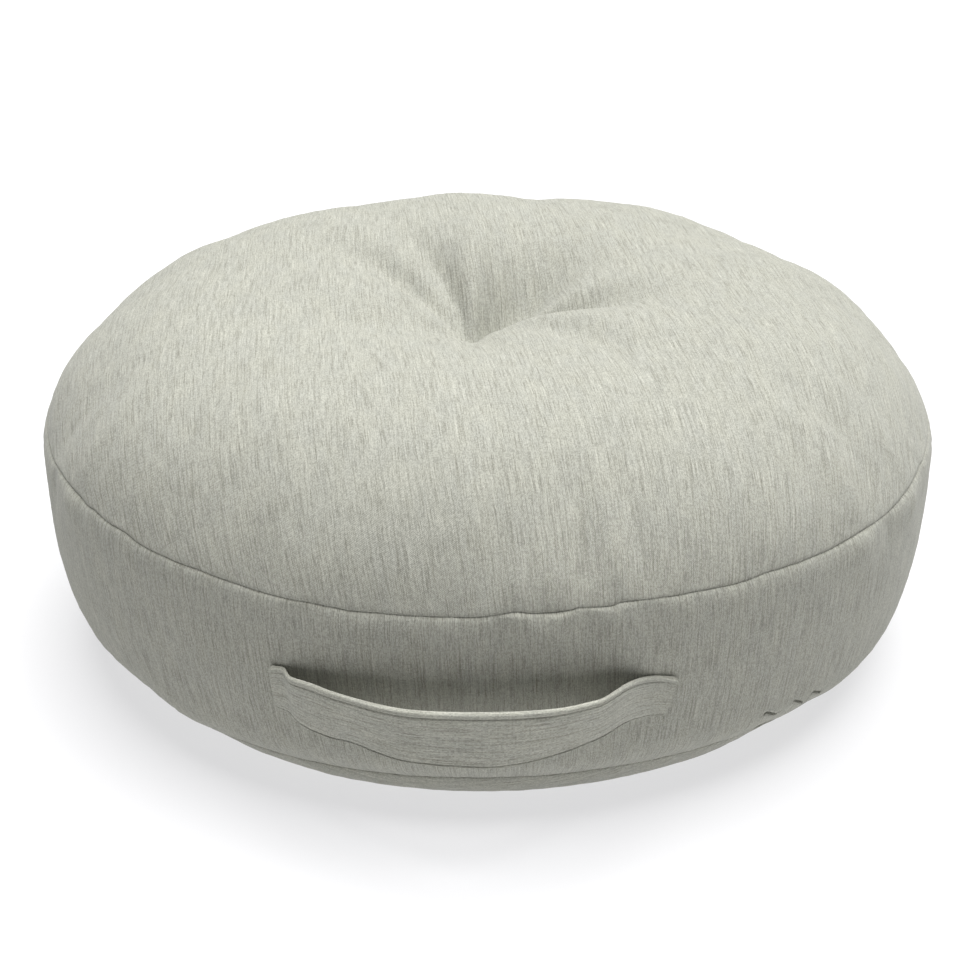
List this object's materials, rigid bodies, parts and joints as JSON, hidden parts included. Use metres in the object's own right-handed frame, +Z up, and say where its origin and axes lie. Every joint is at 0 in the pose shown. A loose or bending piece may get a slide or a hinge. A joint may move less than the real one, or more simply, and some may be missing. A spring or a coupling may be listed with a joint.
{
  "type": "round floor cushion",
  "caption": "Thick round floor cushion in heathered cloth, with a tufted crown, a side band between sewn seams and a strap handle.",
  "frame": {"origin": "on the floor under the middle of the cushion, at the centre of its flat resting face", "axes": "+Z up; the handle is on the -Y side, and +X is to the right of someone who faces the handle"},
  "size_m": [0.6164, 0.6517, 0.2406],
  "materials": {
    "heather_cloth": "matt"
  },
  "bodies": {
    "root": {"cushion": "heather_cloth", "handle": "heather_cloth"}
  },
  "joints": []
}
